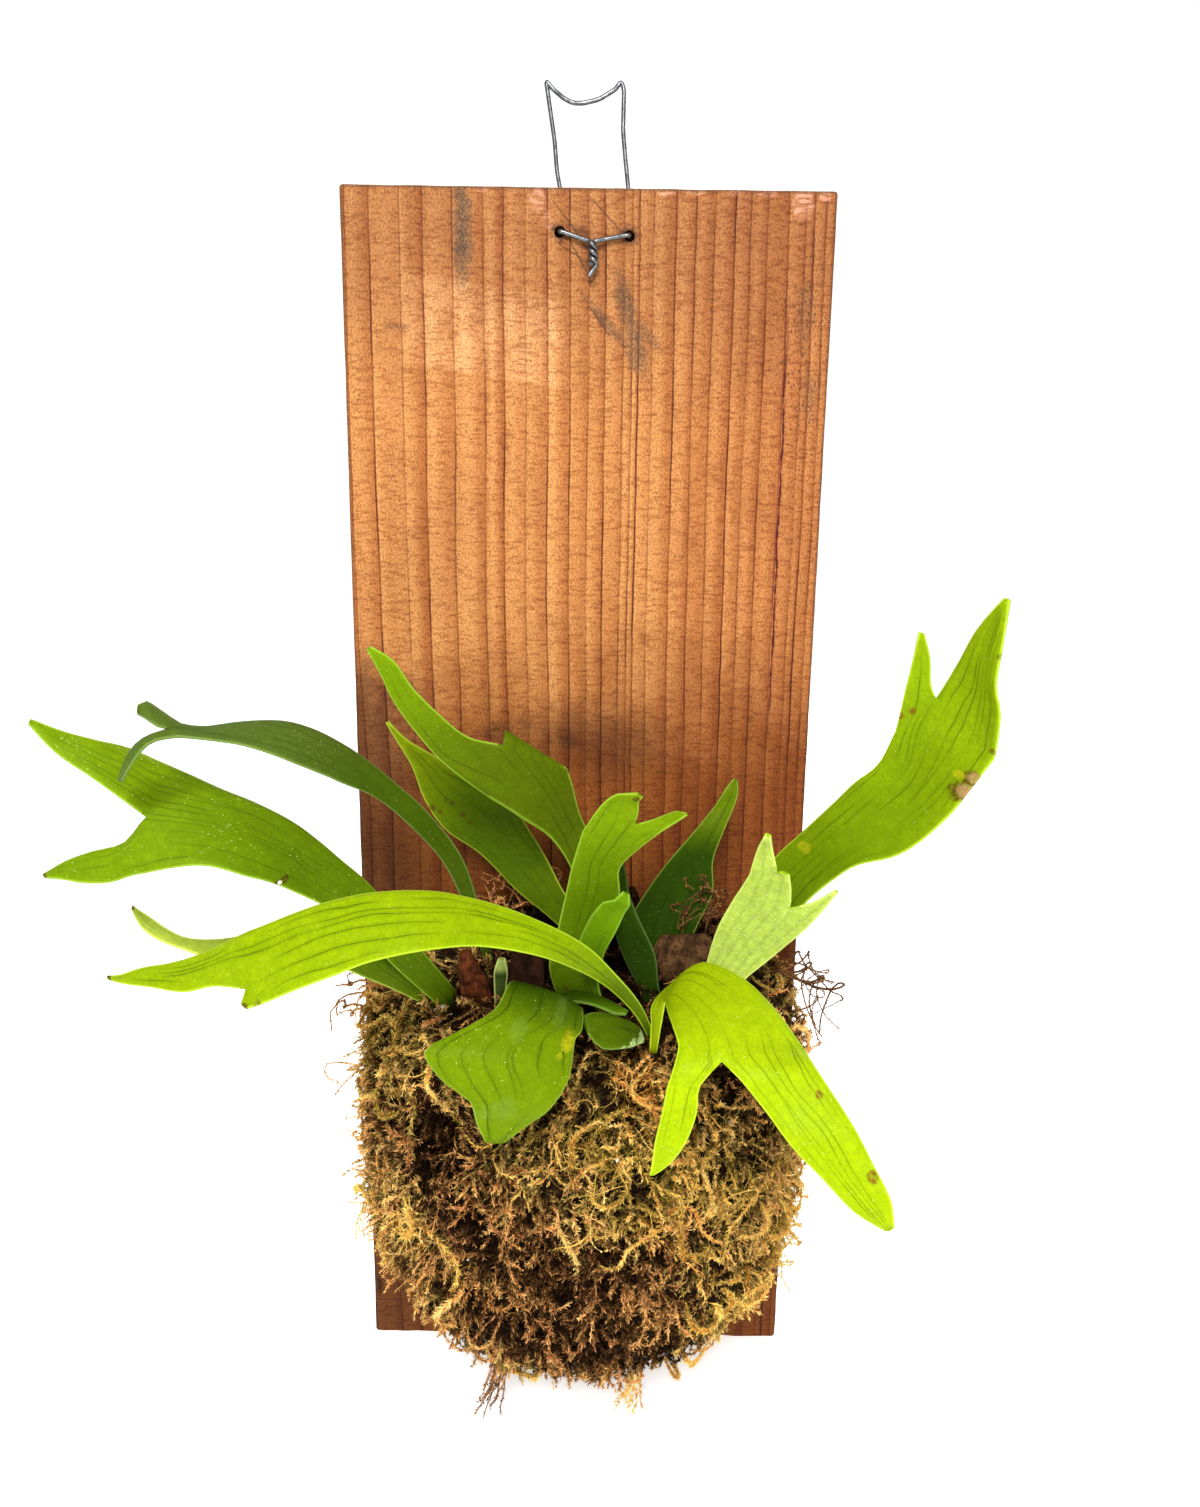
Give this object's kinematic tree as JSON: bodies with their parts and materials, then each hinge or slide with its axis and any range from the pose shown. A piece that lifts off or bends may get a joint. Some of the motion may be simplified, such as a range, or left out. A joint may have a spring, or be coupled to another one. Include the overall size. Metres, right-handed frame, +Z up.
{
  "type": "mounted staghorn fern",
  "caption": "Young staghorn fern with forked green fronds in a mound of dry moss, fixed to an upright wooden plank that hangs from a bent wire loop.",
  "frame": {"origin": "where a hook bears on the underside of the wire loop, in the plane of the plank's back", "axes": "+X is to the viewer's right along the plank's width, +Z is up along its length, and -Y points out of the wall toward the viewer"},
  "size_m": [0.2416, 0.148, 0.4053],
  "materials": {
    "plank_wood": "bare softwood, slightly weathered",
    "galvanised_wire": "dull galvanised",
    "dry_moss": "dry, fibrous",
    "leaf_bright": "leathery, satin",
    "leaf_green": "leathery, satin",
    "leaf_dark": "leathery, matte",
    "leaf_pale": "downy, matte",
    "dry_shield": "dry, papery"
  },
  "bodies": {
    "root": {"plank": "plank_wood", "wire_hanger": "galvanised_wire", "moss_mound": "dry_moss", "frond_far_left": "leaf_green", "frond_dark_arch": "leaf_dark", "frond_front_left": "leaf_bright", "frond_low_left": "leaf_green", "frond_torn": "leaf_green", "frond_spotted": "leaf_dark", "frond_middle": "leaf_green", "frond_small_tip": "leaf_green", "frond_dark_right": "leaf_dark", "frond_narrow_dark": "leaf_dark", "frond_right": "leaf_green", "frond_pale": "leaf_pale", "frond_front_right": "leaf_bright", "frond_drooping": "leaf_green", "frond_small_droop": "leaf_green", "frond_small_dark": "leaf_dark", "frond_bud": "leaf_pale", "shield_frond_right": "dry_shield", "shield_frond_left": "dry_shield", "crown_scale": "dry_shield"}
  },
  "joints": []
}
